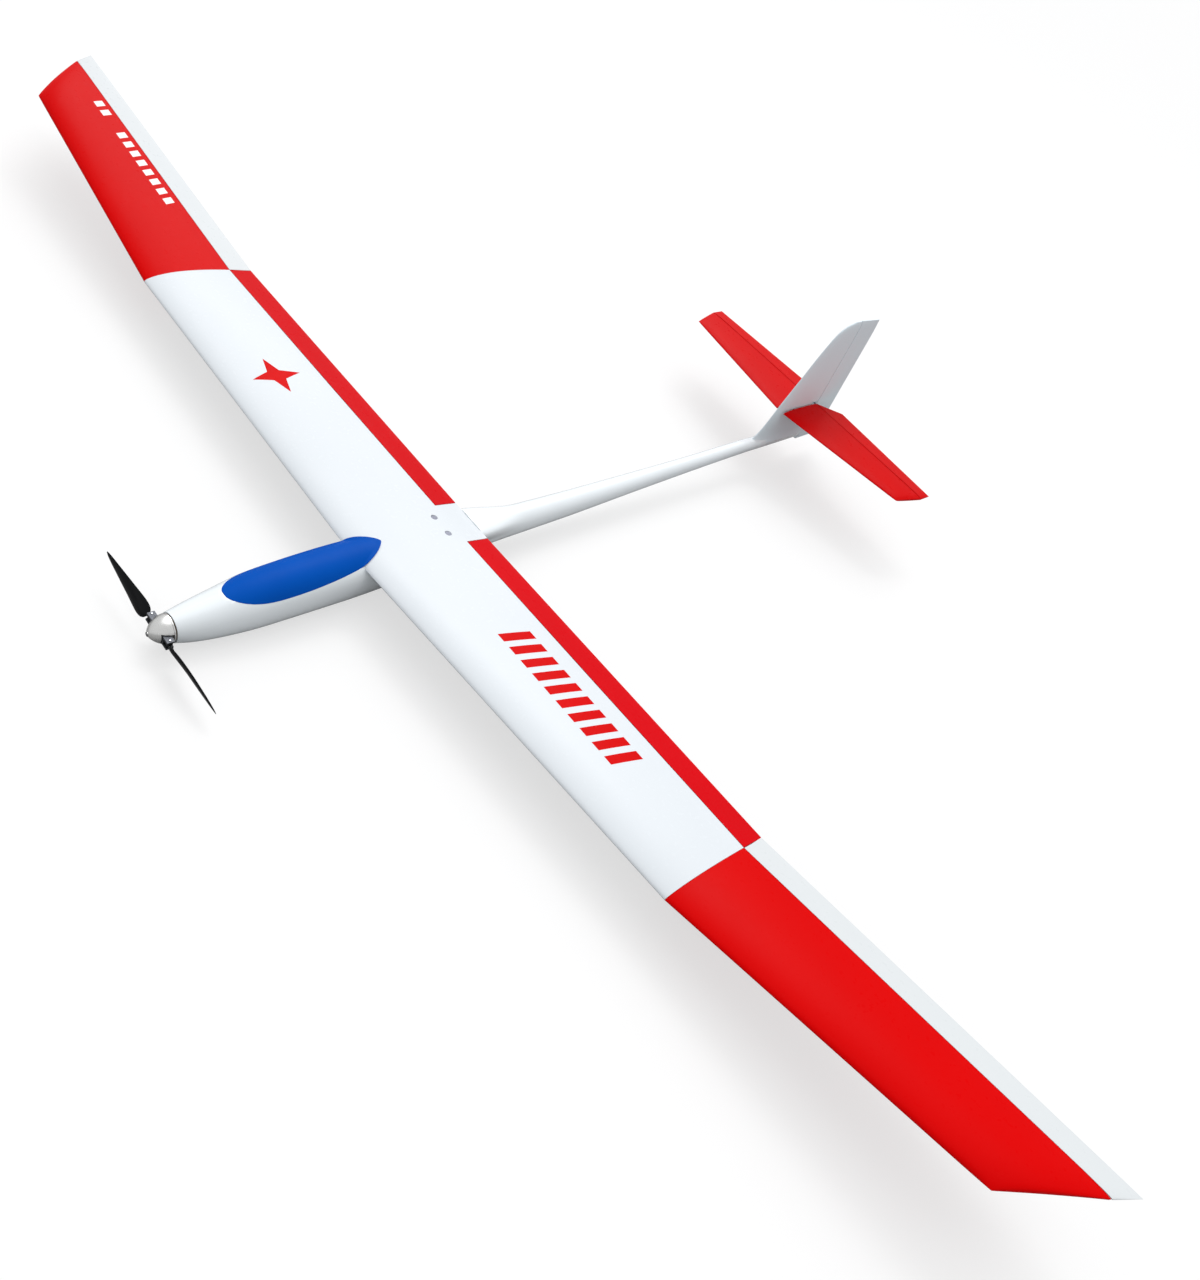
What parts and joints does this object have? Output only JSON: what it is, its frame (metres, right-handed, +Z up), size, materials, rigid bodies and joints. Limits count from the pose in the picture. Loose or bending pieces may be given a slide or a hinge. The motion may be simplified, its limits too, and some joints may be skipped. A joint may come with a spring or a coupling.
{
  "type": "electric glider model",
  "caption": "Model motor glider with a pod and boom fuselage, lift-off canopy, folding propeller, hinged wing and tail surfaces with their servo linkages.",
  "frame": {"origin": "on the surface that the belly rests on, half way between the spinner and the rudder, on the centre line", "axes": "-Y towards the nose, +X towards the left wing tip, +Z up"},
  "size_m": [2, 1.1668, 0.2553],
  "materials": {
    "white_gloss": "gloss",
    "blue_gloss": "gloss",
    "turned_aluminium": "satin",
    "steel": "satin",
    "black_plastic": "satin",
    "white_plastic": "satin",
    "blade_black": "gloss",
    "carbon": "satin",
    "plywood": "matt",
    "white_film": "gloss",
    "red_film": "gloss",
    "battery_wrap": "satin",
    "motor_metal": "satin",
    "strap_fabric": "matt"
  },
  "bodies": {
    "airframe": {"fuselage_left_shell": "white_gloss", "fuselage_right_shell": "white_gloss", "fin": "white_film", "motor_bulkhead": "plywood", "motor_stator": "motor_metal", "battery_tray": "plywood", "battery_pack": "battery_wrap", "battery_strap": "strap_fabric", "speed_controller": "black_plastic", "receiver": "black_plastic", "servo_tray": "plywood", "elevator_servo": "black_plastic", "rudder_servo": "black_plastic", "wing_screw_block": "plywood", "wing_center_panel": "white_film", "wing_screw_left": "steel", "wing_screw_right": "steel", "wing_spar": "carbon", "wing_joiner_left": "carbon", "wing_joiner_right": "carbon", "wing_tip_left": "red_film", "wing_tip_right": "red_film", "flap_servo_left": "black_plastic", "flap_servo_right": "black_plastic", "aileron_servo_left": "black_plastic", "aileron_servo_right": "black_plastic", "stabilizer_left": "red_film", "stabilizer_right": "red_film", "stabilizer_joiner": "carbon"},
    "canopy": {"canopy": "blue_gloss"},
    "propeller_hub": {"motor_bell": "motor_metal", "spinner_backplate": "turned_aluminium", "spinner_cone": "turned_aluminium", "spinner_screw": "steel", "prop_yoke": "turned_aluminium", "blade_pin_left": "steel", "blade_pin_right": "steel"},
    "blade_left": {"blade_left": "blade_black"},
    "blade_right": {"blade_right": "blade_black"},
    "aileron_left": {"aileron_left": "white_film"},
    "flap_left": {"flap_left": "red_film"},
    "aileron_arm_left": {"aileron_arm_left": "white_plastic"},
    "aileron_rod_left": {"aileron_rod_left": "steel"},
    "flap_arm_left": {"flap_arm_left": "white_plastic"},
    "flap_rod_left": {"flap_rod_left": "steel"},
    "aileron_right": {"aileron_right": "white_film"},
    "flap_right": {"flap_right": "red_film"},
    "aileron_arm_right": {"aileron_arm_right": "white_plastic"},
    "aileron_rod_right": {"aileron_rod_right": "steel"},
    "flap_arm_right": {"flap_arm_right": "white_plastic"},
    "flap_rod_right": {"flap_rod_right": "steel"},
    "elevator": {"elevator_left": "red_film", "elevator_right": "red_film", "elevator_joiner": "steel"},
    "rudder": {"rudder": "white_film"},
    "elevator_arm": {"elevator_servo_arm": "white_plastic"},
    "elevator_rod": {"elevator_pushrod": "steel"},
    "rudder_arm": {"rudder_servo_arm": "white_plastic"},
    "rudder_rod": {"rudder_pushrod": "steel"}
  },
  "joints": [
    {"name": "prop_spin", "type": "hinge", "parent": "airframe", "child": "propeller_hub", "pos_m": [0, -0.5683, 0.0252], "axis": [0, 1, 0], "continuous": true},
    {"name": "blade_left_fold", "type": "hinge", "parent": "propeller_hub", "child": "blade_left", "pos_m": [0.01896, -0.5683, 0.02401], "axis": [0.0628, 0, 0.998], "range_deg": [0, 75]},
    {"name": "blade_right_fold", "type": "hinge", "parent": "propeller_hub", "child": "blade_right", "pos_m": [-0.01896, -0.5683, 0.02639], "axis": [-0.0628, 0, -0.998], "range_deg": [0, 75]},
    {"name": "flap_left_hinge", "type": "hinge", "parent": "airframe", "child": "flap_left", "pos_m": [0.0331, -0.19695, 0.06236], "axis": [-1, -0.0075, -0.0033], "range_deg": [-5, 45]},
    {"name": "aileron_left_hinge", "type": "hinge", "parent": "airframe", "child": "aileron_left", "pos_m": [0.5232, -0.1933, 0.06399], "axis": [-0.9938, -0.0076, -0.1109], "range_deg": [-20, 20]},
    {"name": "flap_left_arm_turn", "type": "hinge", "parent": "airframe", "child": "flap_arm_left", "pos_m": [0.24, -0.24741, 0.05725], "axis": [-1, 0, 0], "range_deg": [-6, 46]},
    {"name": "flap_left_rod_slide", "type": "slide", "parent": "airframe", "child": "flap_rod_left", "axis": [0, -0.9239, 0.3827], "range_m": [-0.00182, 0.01236]},
    {"name": "aileron_left_arm_turn", "type": "hinge", "parent": "airframe", "child": "aileron_arm_left", "pos_m": [0.69051, -0.24402, 0.07796], "axis": [-0.994, 0, -0.1097], "range_deg": [-21, 21]},
    {"name": "aileron_left_rod_slide", "type": "slide", "parent": "airframe", "child": "aileron_rod_left", "axis": [0, -1, 0], "range_m": [-0.00495, 0.00495]},
    {"name": "flap_right_hinge", "type": "hinge", "parent": "airframe", "child": "flap_right", "pos_m": [-0.0331, -0.19695, 0.06236], "axis": [-1, 0.0075, 0.0033], "range_deg": [-5, 45]},
    {"name": "aileron_right_hinge", "type": "hinge", "parent": "airframe", "child": "aileron_right", "pos_m": [-0.5232, -0.1933, 0.06399], "axis": [-0.9938, 0.0076, 0.1109], "range_deg": [-20, 20]},
    {"name": "flap_right_arm_turn", "type": "hinge", "parent": "airframe", "child": "flap_arm_right", "pos_m": [-0.24, -0.24741, 0.05725], "axis": [-1, 0, 0], "range_deg": [-6, 46]},
    {"name": "flap_right_rod_slide", "type": "slide", "parent": "airframe", "child": "flap_rod_right", "axis": [0, -0.9239, 0.3827], "range_m": [-0.00182, 0.01236]},
    {"name": "aileron_right_arm_turn", "type": "hinge", "parent": "airframe", "child": "aileron_arm_right", "pos_m": [-0.69051, -0.24402, 0.07796], "axis": [-0.994, 0, 0.1097], "range_deg": [-21, 21]},
    {"name": "aileron_right_rod_slide", "type": "slide", "parent": "airframe", "child": "aileron_rod_right", "axis": [0, -1, 0], "range_m": [-0.00495, 0.00495]},
    {"name": "elevator_hinge", "type": "hinge", "parent": "airframe", "child": "elevator", "pos_m": [0, 0.5157, 0.1043], "axis": [1, 0, 0], "range_deg": [-20, 20]},
    {"name": "rudder_hinge", "type": "hinge", "parent": "airframe", "child": "rudder", "pos_m": [0, 0.5242, 0.0563], "axis": [0, 0, 1], "range_deg": [-25, 25]},
    {"name": "elevator_rod_slide", "type": "slide", "parent": "airframe", "child": "elevator_rod", "axis": [0, 1, 0], "range_m": [-0.00529, 0.00529]},
    {"name": "rudder_rod_slide", "type": "slide", "parent": "airframe", "child": "rudder_rod", "axis": [0, -1, 0], "range_m": [-0.00726, 0.00726]},
    {"name": "elevator_arm_turn", "type": "hinge", "parent": "airframe", "child": "elevator_arm", "pos_m": [0.0088, -0.2588, 0.0338], "axis": [0, 0, 1], "range_deg": [-26.8, 26.8]},
    {"name": "rudder_arm_turn", "type": "hinge", "parent": "airframe", "child": "rudder_arm", "pos_m": [-0.0088, -0.2588, 0.0338], "axis": [0, 0, 1], "range_deg": [-38.93, 38.93]},
    {"name": "canopy_lift", "type": "slide", "parent": "airframe", "child": "canopy", "axis": [0, 0, 1], "range_m": [0, 0.06]}
  ],
  "couplings": [
    {"joint": "flap_left_arm_turn", "follows": "flap_left_hinge", "ratio": 1},
    {"joint": "flap_left_rod_slide", "follows": "flap_left_hinge", "m_per_rad": 0.015105},
    {"joint": "aileron_left_arm_turn", "follows": "aileron_left_hinge", "ratio": 1},
    {"joint": "aileron_left_rod_slide", "follows": "aileron_left_hinge", "m_per_rad": 0.012738},
    {"joint": "flap_right_hinge", "follows": "flap_left_hinge", "ratio": 1},
    {"joint": "flap_right_arm_turn", "follows": "flap_left_hinge", "ratio": 1},
    {"joint": "flap_right_rod_slide", "follows": "flap_left_hinge", "m_per_rad": 0.015105},
    {"joint": "aileron_right_hinge", "follows": "aileron_left_hinge", "ratio": -1},
    {"joint": "aileron_right_arm_turn", "follows": "aileron_left_hinge", "ratio": -1},
    {"joint": "aileron_right_rod_slide", "follows": "aileron_left_hinge", "m_per_rad": -0.012738},
    {"joint": "elevator_rod_slide", "follows": "elevator_hinge", "m_per_rad": 0.013717},
    {"joint": "rudder_rod_slide", "follows": "rudder_hinge", "m_per_rad": 0.015497},
    {"joint": "elevator_arm_turn", "follows": "elevator_hinge", "ratio": 1.2902},
    {"joint": "rudder_arm_turn", "follows": "rudder_hinge", "ratio": 1.5173}
  ]
}
